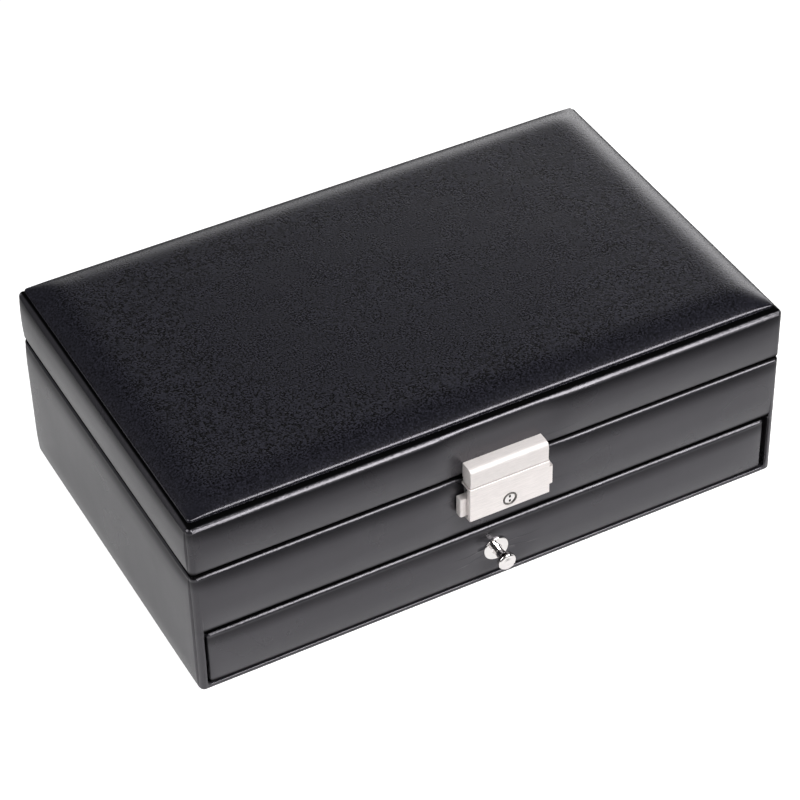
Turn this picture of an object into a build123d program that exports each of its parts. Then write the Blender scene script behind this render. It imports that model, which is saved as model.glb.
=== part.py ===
"""Leather-covered ring box with a hinged lid, a side-button lock and one drawer.

Millimetres. X runs along the front (left is minus), the front faces -Y and +Z is up.
The origin is the middle of the case's footprint, on the surface that the box stands on.
"""
import os

from build123d import *

# Overall sizes of the box
case_width = 270.0
case_depth = 168.0
case_height = 62.5
lid_height = 24.6
rim_gap = 0.4

# Sheet thicknesses
leather_t = 0.5
wall_t = 2.2
base_t = 1.2
shelf_t = 2.2
lid_board_t = 2.2
felt_t = 0.3
lining_t = 1.2
lining_floor_t = 0.8

# Outer radii of the leather, and how far it is turned in past an edge
corner_r = 2.2
rim_r = 1.5
foot_r = 1.2
shoulder_r = 2.0
window_edge_r = 0.8
window_corner_r = 2.0
turn_in = 12.0
wall_share = 0.7
least_r = 0.1
rim_turn_in = 8.0
felt_inset = 3.0

# Padded panel on the lid
pad_inset_front = 3.6
pad_inset_back = 1.5
pad_inset_side = 2.3
pad_edge_h = 2.0
pad_crown = 5.0
pad_swell = 30.0
pad_swell_rise = 2.75
pad_edge_slope = 0.35
pad_card_t = 1.0
pad_card_inset = 1.0
pad_corner_r = 1.6

# Drawer
opening_h = 28.9
gap_below_front = 0.6
gap_above_front = 1.0
gap_left = 0.8
gap_right = 2.2
front_edge_r = 1.4
front_corner_r = 1.6
runner_gap = 0.3
drawer_side_t = 2.0
drawer_bottom_t = 1.8
drawer_side_drop = 2.0
drawer_side_edge_r = 1.0
drawer_lining_t = 0.8
divider_t = 3.0
divider_drop = 3.0
divider_top_r = 1.2
divider_count = 2

# Ring rolls and linings
ring_roll_count = 8
ring_roll_h = 18.2
ring_roll_gap = 0.3
lining_gap = 0.05
lining_drop = 1.5

# Hinges on the back
hinge_spacing = 150.0
hinge_w = 30.0
leaf_h = 12.0
leaf_t = 0.8
leaf_corner_r = 1.5
barrel_r = 1.5
hinge_pin_r = 0.7
pin_clear = 0.05
knuckle_gap = 0.3
hinge_rivet_spacing = 18.0
hinge_rivet_h = 7.0

# Rivets
rivet_r = 0.6
rivet_head_r = 1.3
rivet_head_h = 0.5
rivet_clear = 0.05
rivet_edge_r = 0.4
rivet_edge_gap = 0.2

# Lock on the case
lock_x = 2.0
lock_w = 36.8
lock_rim_drop = 2.0
lock_h = 17.0
lock_out = 6.8
lock_sheet_t = 0.9
lock_edge_r = 0.35
lock_return = 2.2
backplate_t = 0.8
backplate_inset = 1.0
slide_gap = 0.3
bar_t = 1.2
bar_h = 2.0
bar_gap = 0.4
tongue_gap = 0.5
tongue_t = 1.2
tongue_w = 8.0
tongue_reach = 10.8
tongue_tip_h = 0.9
notch_depth = 1.0
notch_clear = 0.1
catch_clear = 0.3
catch_w = 2.0
catch_proud = 0.3
slot_clear = 0.5

# Side buttons
button_h = 9.3
button_t = 3.3
button_proud = 3.1
button_in = 11.0
button_edge_r = 0.9
button_rise = 6.75
guide_t = 0.8
guide_w = 2.5
guide_gap = 0.2

# Springs behind the buttons
spring_seat_x = 4.6
spring_seat_t = 0.8
spring_seat_proud = 0.2
spring_r = 1.4
spring_wire_r = 0.2
spring_turns = 5
spring_seat_gap = 0.05

# Key cylinder
key_rise = 4.8
sleeve_r = 2.95
sleeve_wall = 0.5
sleeve_flange_r = 3.9
sleeve_flange_t = 0.8
sleeve_proud = 0.2
sleeve_hole_gap = 0.3
sleeve_edge_r = 0.08
sleeve_past_tongue = 0.4
plug_clear = 0.05
plug_sunk = 0.35
plug_length = 5.0
keyway_w = 0.9
keyway_h = 3.6
keyway_depth = 3.5
key_post_r = 0.55
cam_t = 0.7
cam_reach = 4.2
cam_w = 2.4
cam_square = 1.9

# Hasp on the lid
hasp_w = 36.0
hasp_h = 9.1
hasp_out = 6.6
hasp_gap = 0.6
hasp_edge_r = 2.4
hasp_plate_inset = 0.3
hasp_case_clear = 0.5
hasp_foot_gap = 0.2
tongue_bend_r = 0.95
hasp_rivet_spacing = 22.0

# Drawer knob
rosette_r = 5.7
rosette_t = 0.9
rosette_edge_r = 0.55
knob_neck_r = 2.0
knob_head_r = 4.0
knob_head_t = 2.9
knob_face_r = 1.0
knob_back_r = 0.7
knob_foot_flare = 0.5
knob_foot_h = 0.6
knob_throat_r = 0.9
knob_out = 10.7
knob_dome = 0.35
knob_dome_r = 2.5
knob_dome_flat_r = 1.5
screw_r = 1.2
screw_clear = 0.05
screw_head_r = 2.4
screw_head_t = 1.4
screw_depth = 3.5
screw_head_edge_r = 0.55
screw_slot_w = 0.6
screw_slot_depth = 0.7

# Places worked out from the sizes above
half_w = case_width / 2
half_d = case_depth / 2
front_y = -half_d
wall_total = wall_t + 2 * leather_t
inner_x = half_w - wall_total
inner_y = half_d - wall_total
z_under = felt_t
z_lip = z_under + base_t + 2 * leather_t
z_opening = z_lip + opening_h
z_shelf = z_opening + leather_t
z_tray = z_shelf + shelf_t
z_lid = case_height + rim_gap
z_shoulder = z_lid + lid_height
z_lid_board = z_shoulder - leather_t - lid_board_t
z_lid_ceiling = z_lid_board - lining_floor_t
hinge_axis_y = half_d + barrel_r
hinge_axis_z = case_height + rim_gap / 2
lock_z = case_height - lock_rim_drop - lock_h
button_z = lock_z + button_rise
key_z = lock_z + key_rise
outer_corner_r = min(corner_r, wall_share * wall_total)
outer_window_r = min(window_edge_r, wall_share * (wall_total - outer_corner_r))
beyond = 5.0
hair = 0.001


def block(x0, x1, y0, y1, z0, z1):
    """A box between two corners."""
    box = Box(x1 - x0, y1 - y0, z1 - z0)
    return Pos((x0 + x1) / 2, (y0 + y1) / 2, (z0 + z1) / 2) * box


def edges_at(shape, axis, value):
    """The edges of a shape that lie in one plane across an axis."""
    return shape.edges().filter_by_position(axis, value - hair, value + hair)


def post(x, y0, y1, z, radius):
    """A round bar along Y between two depths."""
    return Pos(x, (y0 + y1) / 2, z) * Rot(90, 0, 0) * Cylinder(radius, y1 - y0)


def inset_radius(radius, inset):
    """The radius that a board needs under leather of an even thickness."""
    return max(radius - inset, least_r)


def soft_block(inset, z0, z1, bottom_r, top_r):
    """The box's footprint between two heights, with rounded corners and rims."""
    shape = block(inset - half_w, half_w - inset, inset - half_d, half_d - inset, z0 + inset, z1 - inset)
    shape = fillet(shape.edges().filter_by(Axis.Z), inset_radius(outer_corner_r, inset))
    shape = fillet(edges_at(shape, Axis.Z, z0 + inset), inset_radius(bottom_r, inset))
    return fillet(edges_at(shape, Axis.Z, z1 - inset), inset_radius(top_r, inset))


# Case

def case_body(inset):
    """Base, walls and shelf as one form: with the leather, or without it at an inset of its thickness."""
    shape = soft_block(inset, z_under, case_height, foot_r, rim_r)
    side = inner_x + inset
    back = inner_y + inset
    shape -= block(-side, side, -back, back, z_tray, case_height + beyond)
    cavity = block(-side, side, front_y - beyond, back, z_lip - inset, z_opening + inset)
    if inset == 0:
        cavity = fillet(cavity.edges().filter_by(Axis.Y), window_corner_r)
    shape -= cavity
    front_edges = edges_at(shape, Axis.Y, front_y + inset)
    window = front_edges.filter_by_position(Axis.X, -side - hair, side + hair)
    window = window.filter_by_position(Axis.Z, z_lip - inset - hair, z_opening + inset + hair)
    return fillet(window, inset_radius(outer_window_r, inset))


def case_boards():
    """The boards that the case is glued up from."""
    boards = case_body(leather_t)
    side = inner_x + leather_t
    back = inner_y + leather_t
    z_floor = z_lip - leather_t
    top = case_height + beyond
    wide = half_w + beyond
    deep = half_d + beyond
    return {
        "base_board": boards & block(-wide, wide, -deep, deep, 0, z_floor),
        "left_wall": boards & block(-wide, -side, -deep, deep, z_floor, top),
        "right_wall": boards & block(side, wide, -deep, deep, z_floor, top),
        "back_wall": boards & block(-side, side, back, deep, z_floor, top),
        "front_fascia": boards & block(-side, side, -deep, -back, z_floor, top),
        "tray_floor": boards & block(-side, side, -back, back, z_floor, top),
    }


def case_leather():
    """One wrap round the case, turned in at the rim, in the drawer opening and under the base."""
    skin = case_body(0) - case_body(leather_t)
    side = inner_x + leather_t
    back = inner_y + leather_t
    skin -= block(-side, side, -back, back, z_shelf, case_height - leather_t - rim_turn_in)
    skin -= block(-side, side, front_y + turn_in, back, z_lip - leather_t - hair, z_shelf + hair)
    under_x = half_w - turn_in
    under_y = half_d - turn_in
    return skin - block(-under_x, under_x, -under_y, under_y, 0, z_under + leather_t)


def underside_felt():
    """Felt on the underside, thicker in the middle where there is no turned-in leather."""
    x = half_w - felt_inset
    y = half_d - felt_inset
    felt = block(-x, x, -y, y, 0, z_under)
    felt = fillet(felt.edges().filter_by(Axis.Z), corner_r)
    middle_x = half_w - turn_in
    middle_y = half_d - turn_in
    return felt + block(-middle_x, middle_x, -middle_y, middle_y, 0, z_under + leather_t)


def tray_lining():
    """Velvet-covered card on the floor and walls of the ring compartment."""
    x = inner_x - lining_gap
    y = inner_y - lining_gap
    card = block(-x, x, -y, y, z_tray, case_height - lining_drop)
    inside_x = x - lining_t
    inside_y = y - lining_t
    room = block(-inside_x, inside_x, -inside_y, inside_y, z_tray + lining_floor_t, case_height)
    return card - room


def ring_rolls():
    """Padded rolls side by side, which grip a ring between two of them."""
    length = 2 * (inner_x - lining_gap - lining_t - ring_roll_gap)
    depth = 2 * (inner_y - lining_gap - lining_t)
    pitch = depth / ring_roll_count
    radius = (pitch - ring_roll_gap) / 2
    floor = z_tray + lining_floor_t
    rolls = {}
    for index in range(ring_roll_count):
        y = -depth / 2 + pitch * (index + 0.5)
        roll = Pos(0, y, floor + ring_roll_h - radius) * Rot(0, 90, 0) * Cylinder(radius, length)
        roll -= block(-length, length, y - pitch, y + pitch, floor - 2 * radius, floor)
        rolls[f"ring_roll_{index + 1}"] = roll
    return rolls


# Lid

def lid_body(inset):
    """Lid rails and lid board as one form: with the leather, or without it."""
    shape = soft_block(inset, z_lid, z_shoulder, rim_r, shoulder_r)
    side = inner_x + inset
    back = inner_y + inset
    return shape - block(-side, side, -back, back, z_lid - beyond, z_lid_board)


def lid_boards():
    """The four rails of the lid and the board between them."""
    boards = lid_body(leather_t)
    side = inner_x + leather_t
    back = inner_y + leather_t
    top = z_shoulder + beyond
    wide = half_w + beyond
    deep = half_d + beyond
    return {
        "lid_left_rail": boards & block(-wide, -side, -deep, deep, z_lid, top),
        "lid_right_rail": boards & block(side, wide, -deep, deep, z_lid, top),
        "lid_front_rail": boards & block(-side, side, -deep, -back, z_lid, top),
        "lid_back_rail": boards & block(-side, side, back, deep, z_lid, top),
        "lid_board": boards & block(-side, side, -back, back, z_lid, top),
    }


def lid_leather():
    """One wrap round the lid, turned in at the rim and under the padded panel."""
    skin = lid_body(0) - lid_body(leather_t)
    side = inner_x + leather_t
    back = inner_y + leather_t
    skin -= block(-side, side, -back, back, z_lid + leather_t + rim_turn_in, z_lid_board)
    top_x = half_w - turn_in
    top_y = half_d - turn_in
    return skin - block(-top_x, top_x, -top_y, top_y, z_shoulder - leather_t, z_shoulder + beyond)


def lid_lining():
    """Velvet-covered card on the ceiling and walls of the lid."""
    x = inner_x - lining_gap
    y = inner_y - lining_gap
    card = block(-x, x, -y, y, z_lid + lining_drop, z_lid_board)
    room = block(-x + lining_t, x - lining_t, -y + lining_t, y - lining_t, z_lid, z_lid_ceiling)
    return card - room


def crown_profile(half_span, length, plane):
    """A slab with straight edges and a low crown, drawn across one direction."""
    edge_z = z_shoulder + pad_edge_h
    foot = [(-half_span, edge_z), (-half_span, z_shoulder), (half_span, z_shoulder), (half_span, edge_z)]
    rise_z = edge_z + pad_swell_rise
    top = [(half_span, edge_z), (half_span - pad_swell, rise_z), (0, edge_z + pad_crown)]
    top += [(pad_swell - half_span, rise_z), (-half_span, edge_z)]
    tangents = [(-1, pad_edge_slope), (-1, -pad_edge_slope)]
    outline = Polyline(*foot) + Spline(*top, tangents=tangents)
    return extrude(plane * make_face(outline.edges()), amount=length, both=True)


def pad_card():
    """Stiff card under the padded panel."""
    x = half_w - pad_inset_side - pad_card_inset
    y0 = front_y + pad_inset_front + pad_card_inset
    y1 = half_d - pad_inset_back - pad_card_inset
    return block(-x, x, y0, y1, z_shoulder, z_shoulder + pad_card_t)


def lid_pad():
    """Foam and leather over the card: upright edges and a crown, highest in the middle."""
    half_x = half_w - pad_inset_side
    half_y = half_d - (pad_inset_front + pad_inset_back) / 2
    mid_y = (pad_inset_front - pad_inset_back) / 2
    across = crown_profile(half_x, case_depth, Plane.XZ)
    along = Pos(0, mid_y, 0) * crown_profile(half_y, case_width, Plane.YZ)
    pad = across & along
    corners = pad.edges().filter_by(Axis.Z)
    return fillet(corners, pad_corner_r) - pad_card()


# Drawer

def drawer_ends():
    """Left and right sides of the drawer."""
    return gap_left - inner_x, inner_x - gap_right


def front_block(inset):
    """The drawer's front panel: with its leather, or the board alone at an inset."""
    left, right = drawer_ends()
    bottom = z_lip + gap_below_front
    top = z_opening - gap_above_front
    y1 = front_y + wall_total
    shape = block(left + inset, right - inset, front_y + inset, y1 - inset, bottom + inset, top - inset)
    shape = fillet(shape.edges().filter_by(Axis.Y), inset_radius(front_corner_r, inset))
    return fillet(edges_at(shape, Axis.Y, front_y + inset), inset_radius(front_edge_r, inset))


def knob_place():
    """Middle of the drawer's front."""
    left, right = drawer_ends()
    return (left + right) / 2, (z_lip + gap_below_front + z_opening - gap_above_front) / 2


def front_leather():
    """Leather wrapped round the front board and turned in behind it."""
    left, right = drawer_ends()
    skin = front_block(0) - front_block(leather_t)
    y = front_y + wall_total - leather_t
    z0 = z_lip + gap_below_front + turn_in / 2
    z1 = z_opening - gap_above_front - turn_in / 2
    return skin - block(left + turn_in, right - turn_in, y, y + beyond, z0, z1)


def drawer_box():
    """Sides, back and bottom behind the front panel."""
    left, right = drawer_ends()
    y0 = front_y + wall_total
    y1 = inner_y + leather_t - runner_gap
    z0 = z_lip + runner_gap
    z1 = z_opening - gap_above_front - drawer_side_drop
    inside_left = left + drawer_side_t
    inside_right = right - drawer_side_t
    inside_back = y1 - drawer_side_t
    left_side = block(left, inside_left, y0, y1, z0, z1)
    right_side = block(inside_right, right, y0, y1, z0, z1)
    left_runner = edges_at(left_side, Axis.Z, z0).filter_by(Axis.Y).sort_by(Axis.X)[0]
    right_runner = edges_at(right_side, Axis.Z, z0).filter_by(Axis.Y).sort_by(Axis.X)[-1]
    return {
        "drawer_left_side": fillet(left_runner, drawer_side_edge_r),
        "drawer_right_side": fillet(right_runner, drawer_side_edge_r),
        "drawer_back": block(inside_left, inside_right, inside_back, y1, z0, z1),
        "drawer_bottom": block(inside_left, inside_right, y0, inside_back, z0, z0 + drawer_bottom_t),
    }


def drawer_lining_and_dividers():
    """Velvet lining of the drawer and the dividers that stand in it."""
    left, right = drawer_ends()
    x0 = left + drawer_side_t
    x1 = right - drawer_side_t
    y0 = front_y + wall_total
    y1 = inner_y + leather_t - runner_gap - drawer_side_t
    z0 = z_lip + runner_gap + drawer_bottom_t
    z1 = z_opening - gap_above_front - drawer_side_drop - drawer_lining_t
    t = drawer_lining_t
    lining = block(x0, x1, y0, y1, z0, z1)
    lining -= block(x0 + t, x1 - t, y0 + t, y1 - t, z0 + t, z1 + beyond)
    pieces = {"drawer_lining": lining}
    bay = (x1 - x0 - 2 * t - divider_count * divider_t) / (divider_count + 1)
    for index in range(divider_count):
        x = x0 + t + bay * (index + 1) + divider_t * index
        divider = block(x, x + divider_t, y0 + t, y1 - t, z0 + t, z1 - divider_drop)
        top = edges_at(divider, Axis.Z, z1 - divider_drop).filter_by(Axis.Y)
        pieces[f"drawer_divider_{index + 1}"] = fillet(top, divider_top_r)
    return pieces


def turned(points, x, z):
    """A turned piece from its half outline, given as radius and distance out from the front."""
    profile = make_face(Polyline(*points, close=True).edges())
    solid = revolve(Plane.XZ * profile, Axis.Z)
    return Pos(x, front_y, z) * Rot(90, 0, 0) * solid


def rounded_rim(shape, distance, radius):
    """Round the outer edge of a turned piece at one distance out from the front."""
    rim = edges_at(shape, Axis.Y, front_y - distance).sort_by(SortBy.RADIUS)[-1]
    return fillet(rim, radius)


def knob_pieces():
    """Turned knob, its rosette, and the screw from inside the drawer."""
    x, z = knob_place()
    bore = screw_r + screw_clear
    rosette = turned([(bore, 0), (rosette_r, 0), (rosette_r, rosette_t), (bore, rosette_t)], x, z)
    rosette = rounded_rim(rosette, rosette_t, rosette_edge_r)
    head_back = knob_out - knob_dome - knob_head_t
    face = knob_out - knob_dome
    foot_r = knob_neck_r + knob_foot_flare
    points = [(0, rosette_t), (foot_r, rosette_t), (knob_neck_r, rosette_t + knob_foot_h)]
    points += [(knob_neck_r, head_back), (knob_head_r, head_back), (knob_head_r, face), (0, face)]
    knob = turned(points, x, z)
    throat = edges_at(knob, Axis.Y, front_y - head_back).sort_by(SortBy.RADIUS)[0]
    knob = fillet(throat, knob_throat_r)
    knob = rounded_rim(knob, face, knob_face_r)
    knob = rounded_rim(knob, head_back, knob_back_r)
    dome = turned([(0, face), (knob_dome_r, face), (knob_dome_flat_r, knob_out), (0, knob_out)], x, z)
    knob += dome
    knob -= post(x, front_y - rosette_t - screw_depth, front_y, z, bore)
    board_back = front_y + wall_total - leather_t
    screw = post(x, front_y - rosette_t - screw_depth, board_back, z, screw_r)
    head = post(x, board_back, board_back + screw_head_t, z, screw_head_r)
    head = fillet(edges_at(head, Axis.Y, board_back + screw_head_t), screw_head_edge_r)
    slot_y = board_back + screw_head_t - screw_slot_depth
    half = screw_slot_w / 2
    slot = block(x - beyond, x + beyond, slot_y, board_back + beyond, z - half, z + half)
    return {"knob": knob, "knob_rosette": rosette, "knob_screw": screw + head - slot}


def knob_hole(radius):
    """A hole through the drawer's front on the knob's axis."""
    x, z = knob_place()
    return post(x, front_y - beyond, front_y + wall_total + beyond, z, radius)


# Hinges

def hinge_leaf(x, side):
    """One leaf of a butt hinge: side is 1 for the lid's leaf and -1 for the case's."""
    near = hinge_axis_z + side * (barrel_r + knuckle_gap)
    far = hinge_axis_z + side * leaf_h
    half = hinge_w / 2
    plate = block(x - half, x + half, half_d, half_d + leaf_t, min(near, far), max(near, far))
    corners = edges_at(plate, Axis.Z, far).filter_by(Axis.Y)
    plate = fillet(corners, leaf_corner_r)
    width = (hinge_w - 2 * knuckle_gap) / 3
    starts = [x - width / 2] if side > 0 else [x - half, x + half - width]
    for start in starts:
        low = min(near, hinge_axis_z)
        plate += block(start, start + width, half_d, half_d + leaf_t, low, max(near, hinge_axis_z))
        barrel = Rot(0, 90, 0) * Cylinder(barrel_r, width)
        plate += Pos(start + width / 2, hinge_axis_y, hinge_axis_z) * barrel
    bore = Rot(0, 90, 0) * Cylinder(hinge_pin_r + pin_clear, hinge_w + beyond)
    return plate - Pos(x, hinge_axis_y, hinge_axis_z) * bore


def hinge_rivet_places(side):
    """Middles of one set of hinge rivets, on the lid or on the case."""
    z = hinge_axis_z + side * hinge_rivet_h
    places = []
    for hinge_x in (-hinge_spacing / 2, hinge_spacing / 2):
        for offset in (-hinge_rivet_spacing / 2, hinge_rivet_spacing / 2):
            places.append((hinge_x + offset, z))
    return places


def rivet(x, z, outside_y, inside_y):
    """A round-headed rivet: head outside, shank flush with the board's inner face."""
    outward = 1 if outside_y > inside_y else -1
    tip = outside_y + outward * rivet_head_h
    head = post(x, min(outside_y, tip), max(outside_y, tip), z, rivet_head_r)
    head = fillet(edges_at(head, Axis.Y, tip), rivet_edge_r)
    return head + post(x, min(outside_y, inside_y), max(outside_y, inside_y), z, rivet_r)


def rivet_group(places, outside_y, inside_y):
    """Identical rivets as one group of separate solids."""
    return Compound(children=[rivet(x, z, outside_y, inside_y) for x, z in places])


def drilled(shape, places, y0, y1):
    """A shape with rivet holes through it between two depths."""
    for x, z in places:
        shape -= post(x, y0, y1, z, rivet_r + rivet_clear)
    return shape


# Lock: depths are counted out from the front of the case

bar_back = backplate_t + slide_gap
bar_front = bar_back + bar_t
tongue_back = bar_front + tongue_gap
tongue_front = tongue_back + tongue_t
button_front = bar_back + button_t
plate_back = lock_out - lock_sheet_t
low_bar_z = button_z + button_h / 2 - bar_h
high_bar_z = low_bar_z + bar_h + bar_gap
tongue_tip_z = hinge_axis_z - tongue_reach
seat_front = tongue_front + spring_seat_proud


def out(near, far, x0, x1, z0, z1):
    """A block in front of the case, between two distances out from it."""
    return block(lock_x + x0, lock_x + x1, front_y - far, front_y - near, z0, z1)


def lock_rivet_places():
    """Middles of the rivets that hold the lock to the fascia."""
    upper = (low_bar_z + key_z + spring_r) / 2
    lower = lock_z + lock_sheet_t + rivet_head_r + rivet_edge_gap
    x = (spring_seat_x + button_in) / 2
    return [(lock_x - x, lower), (lock_x + x, lower), (lock_x - x, upper), (lock_x + x, upper)]


def lock_backplate():
    """Plate riveted to the fascia, with lugs that seat the springs and guide the buttons."""
    half = lock_w / 2 - backplate_inset
    bottom = lock_z + lock_sheet_t
    top = lock_z + lock_h - lock_sheet_t
    plate = out(0, backplate_t, -half, half, bottom, top)
    seat_z0 = key_z - spring_r
    seat_z1 = key_z + spring_r
    low_guide = button_z - button_h / 2 - guide_gap
    high_guide = button_z + button_h / 2 + guide_gap
    for side in (-1, 1):
        seat = sorted((side * spring_seat_x, side * (spring_seat_x + spring_seat_t)))
        plate += out(backplate_t, seat_front, seat[0], seat[1], seat_z0, seat_z1)
        guide = sorted((side * (half - guide_w), side * half))
        plate += out(backplate_t, button_front, guide[0], guide[1], bottom, low_guide)
        plate += out(backplate_t, button_front, guide[0], guide[1], high_guide, high_guide + guide_t)
    return drilled(plate, lock_rivet_places(), front_y - lock_out, front_y)


def lock_cover():
    """Folded sheet over the lock: two flanges and narrow side returns, open behind them for the buttons."""
    half = lock_w / 2
    top = lock_z + lock_h
    cover = out(0, lock_out, -half, half, lock_z, top)
    cover = fillet(edges_at(cover, Axis.Y, front_y - lock_out), lock_edge_r)
    t = lock_sheet_t
    cover -= out(-hair, plate_back, t - half, half - t, lock_z + t, top - t)
    cover -= out(-hair, lock_out - lock_return, -half - beyond, half + beyond, lock_z + t, top - t)
    slot_x = tongue_w / 2 + slot_clear
    near = tongue_back - slot_clear
    far = tongue_front + slot_clear
    cover -= out(near, far, -slot_x, slot_x, top - t - hair, top + t)
    outside_y = front_y - lock_out - beyond
    return cover - post(lock_x, outside_y, front_y - plate_back + hair, key_z, sleeve_r + sleeve_hole_gap)


def left_button():
    """Left push button with its bar and catch, which hooks the right side of the tongue."""
    return button_with_catch(-1, low_bar_z)


def right_button():
    """Right push button with its bar and catch, which hooks the left side of the tongue."""
    return button_with_catch(1, high_bar_z)


def button_with_catch(side, bar_z):
    """A button on one side of the lock, and the bar that reaches past the tongue to its catch."""
    outer = lock_w / 2 + button_proud
    z0 = button_z - button_h / 2
    z1 = button_z + button_h / 2
    ends = sorted((side * button_in, side * outer))
    body = out(bar_back, button_front, ends[0], ends[1], z0, z1)
    rim = edges_at(body, Axis.X, lock_x + side * outer)
    front_rim = rim.filter_by(Axis.Z).sort_by(Axis.Y)[0]
    body = fillet(front_rim, button_edge_r)
    catch_x = tongue_w / 2 + catch_clear
    reach = sorted((side * (button_in + catch_w), -side * (catch_x + catch_w)))
    piece = body + out(bar_back, bar_front, reach[0], reach[1], bar_z, bar_z + bar_h)
    if bar_z > z1 - bar_h:
        arm = sorted((side * button_in, side * (button_in + catch_w)))
        piece += out(bar_back, bar_front, arm[0], arm[1], z1 - bar_h, bar_z + bar_h)
    nose = sorted((-side * catch_x, -side * (catch_x + catch_w)))
    return piece + out(bar_back, tongue_front + catch_proud, nose[0], nose[1], bar_z, bar_z + bar_h)


def button_spring(side):
    """Coil spring between its seat and the back of a button."""
    start = spring_seat_x + spring_seat_t + spring_seat_gap
    length = button_in - spring_seat_gap - start
    rise = length - 2 * spring_wire_r
    coil_r = spring_r - spring_wire_r
    path = Helix(rise / spring_turns, rise, coil_r)
    section = Plane(path @ 0, z_dir=path % 0) * Circle(spring_wire_r)
    coil = sweep(section, path=path)
    depth = front_y - (bar_back + seat_front) / 2
    turn = Rot(0, 90 * side, 0)
    return Pos(lock_x + side * (start + spring_wire_r), depth, key_z) * turn * coil


def cylinder_sleeve():
    """Fixed sleeve of the key cylinder, flanged behind the cover's front."""
    out_y = front_y - lock_out - sleeve_proud
    back_y = front_y - tongue_front + sleeve_past_tongue
    sleeve = post(lock_x, out_y, back_y, key_z, sleeve_r)
    sleeve = fillet(edges_at(sleeve, Axis.Y, out_y), sleeve_edge_r)
    flange_y = front_y - plate_back
    sleeve += post(lock_x, flange_y, flange_y + sleeve_flange_t, key_z, sleeve_flange_r)
    return sleeve - post(lock_x, out_y - beyond, back_y + beyond, key_z, sleeve_r - sleeve_wall)


def key_plug():
    """Turning plug with a keyway round a centre post, and a square tail for the cam."""
    radius = sleeve_r - sleeve_wall - plug_clear
    face_y = front_y - lock_out - sleeve_proud + plug_sunk
    tail_y = face_y + plug_length
    plug = post(lock_x, face_y, tail_y, key_z, radius)
    way = block(lock_x - keyway_w / 2, lock_x + keyway_w / 2, face_y - hair, face_y + keyway_depth,
                key_z - keyway_h / 2, key_z + keyway_h / 2)
    plug -= way - post(lock_x, face_y - beyond, face_y + keyway_depth + beyond, key_z, key_post_r)
    half = cam_square / 2
    return plug + block(lock_x - half, lock_x + half, tail_y, tail_y + cam_t, key_z - half, key_z + half)


def lock_cam():
    """Cam on the plug's tail: it lies level when unlocked and stands under the bars when locked."""
    tail_y = front_y - lock_out - sleeve_proud + plug_sunk + plug_length
    hub = post(lock_x, tail_y, tail_y + cam_t, key_z, sleeve_r - sleeve_wall)
    tip_x = lock_x + cam_reach - cam_w / 2
    hub += post(tip_x, tail_y, tail_y + cam_t, key_z, cam_w / 2)
    hub += block(lock_x, tip_x, tail_y, tail_y + cam_t, key_z - cam_w / 2, key_z + cam_w / 2)
    half = cam_square / 2 + plug_clear
    x0 = lock_x - half
    x1 = lock_x + half
    return hub - block(x0, x1, tail_y - beyond, tail_y + beyond, key_z - half, key_z + half)


# Hasp

hasp_bottom = lock_z + lock_h + hasp_gap
hasp_top = hasp_bottom + hasp_h


def hasp_rivet_places():
    """Middles of the rivets that hold the hasp to the lid's front rail."""
    z = (z_lid + hasp_top) / 2
    return [(lock_x - hasp_rivet_spacing / 2, z), (lock_x + hasp_rivet_spacing / 2, z)]


def hasp_cover():
    """Drawn cover of the hasp: closed all round, open towards the lid, slotted for the tongue."""
    half = hasp_w / 2
    cover = out(0, hasp_out, -half, half, hasp_bottom, hasp_top)
    front = edges_at(cover, Axis.Y, front_y - hasp_out)
    cover = fillet(front.sort_by(Axis.Z)[-1], hasp_edge_r)
    sides = edges_at(cover, Axis.X, lock_x - half) + edges_at(cover, Axis.X, lock_x + half)
    proud = sides.filter_by(lambda edge: edge.center().Y < front_y - hair)
    proud = proud.filter_by(lambda edge: edge.center().Z > hasp_bottom + hair)
    cover = fillet(proud, lock_edge_r)
    t = lock_sheet_t
    hollow = out(-hair, hasp_out - t, t - half, half - t, hasp_bottom + t, hasp_top - t)
    hollow_front = edges_at(hollow, Axis.Y, front_y - hasp_out + t)
    cover -= fillet(hollow_front.sort_by(Axis.Z)[-1], hasp_edge_r - t)
    foot_z = z_lid + hasp_foot_gap
    cover -= out(-hair, hasp_case_clear, -half - beyond, half + beyond, hasp_bottom - beyond, foot_z)
    slot_x = tongue_w / 2 + slot_clear
    near = tongue_back - slot_clear
    far = tongue_front + slot_clear
    return cover - out(near, far, -slot_x, slot_x, hasp_bottom - t, hasp_bottom + t + hair)


def hasp_tongue():
    """Bent plate riveted to the lid: its tongue hangs into the lock, with a notch for each catch."""
    half = hasp_w / 2 - lock_sheet_t - hasp_plate_inset
    foot_z = z_lid + rim_r
    plate = out(0, tongue_t, -half, half, foot_z, hasp_top - lock_sheet_t - hasp_plate_inset)
    wide = tongue_w / 2
    plate += out(0, tongue_front, -wide, wide, foot_z, foot_z + tongue_t)
    tongue = out(tongue_back, tongue_front, -wide, wide, tongue_tip_z, foot_z + tongue_t)
    bends = edges_at(tongue, Axis.Y, front_y - tongue_front).filter_by(Axis.X).sort_by(Axis.Z)
    tongue = fillet(bends[-1], tongue_bend_r)
    tip = edges_at(tongue, Axis.Z, tongue_tip_z).filter_by(Axis.Y)
    tongue = chamfer(tip, 0.5 * tongue_tip_h)
    for side, bar_z in ((1, low_bar_z), (-1, high_bar_z)):
        notch = sorted((side * (wide - notch_depth), side * (wide + beyond)))
        z0 = bar_z - notch_clear
        z1 = bar_z + bar_h + notch_clear
        tongue -= out(0, tongue_front + beyond, notch[0], notch[1], z0, z1)
    return drilled(plate + tongue, hasp_rivet_places(), front_y - hasp_out, front_y)


# Assembly

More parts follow.
